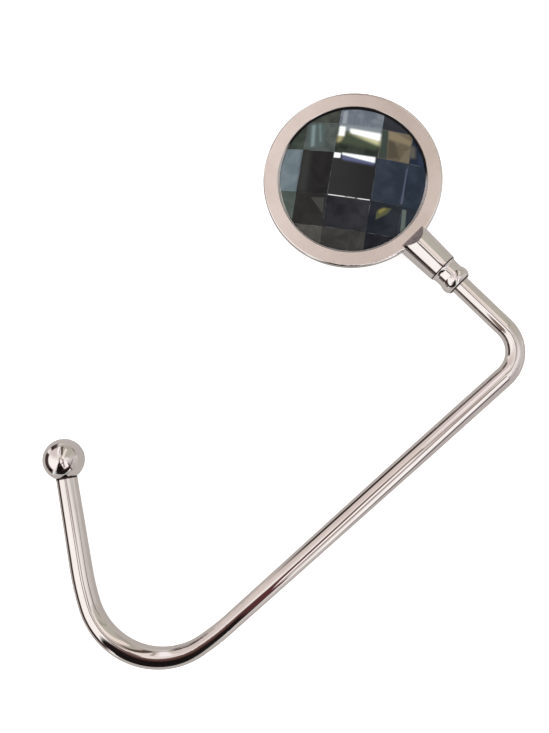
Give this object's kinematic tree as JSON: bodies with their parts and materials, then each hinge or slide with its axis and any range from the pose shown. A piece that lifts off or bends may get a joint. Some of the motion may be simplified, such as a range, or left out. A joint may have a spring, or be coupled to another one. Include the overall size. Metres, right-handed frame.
{
  "type": "purse hook",
  "caption": "Table-edge bag hanger: a round medallion with a faceted dark stone on a rubber pad, and a long ball-tipped hook that swivels in a barrel on the rim.",
  "frame": {"origin": "centre of the grip pad's underside, where the medallion rests on the table", "axes": "+Z out of the ring's face, away from the table; +X along the swivel axis from the medallion to the hook; at rest the hook lies level on the -Y side"},
  "size_m": [0.0806, 0.1387, 0.0098],
  "materials": {
    "polished_casting": "polished",
    "dark_stone": "polished",
    "stone_backing": "polished",
    "clear_glue": "glossy",
    "pad_rubber": "matte",
    "tape": "matte",
    "polished_turned": "polished",
    "spring_steel": "satin",
    "washer_brass": "satin",
    "polished_rod": "polished",
    "polished_ball": "polished"
  },
  "bodies": {
    "medallion": {"medallion_body": "polished_casting", "faceted_stone": "dark_stone", "stone_foil": "stone_backing", "stone_adhesive": "clear_glue", "grip_pad": "pad_rubber", "pad_adhesive": "tape", "swivel_ferrule": "polished_turned", "friction_spring": "spring_steel", "thrust_washer": "washer_brass"},
    "hook": {"hook_arm": "polished_rod", "ball_tip": "polished_ball", "retaining_ring": "spring_steel"}
  },
  "joints": [
    {"name": "swivel", "type": "hinge", "parent": "medallion", "child": "hook", "pos_m": [0.03, 0, 0.0049], "axis": [-1, 0, 0], "continuous": true}
  ]
}
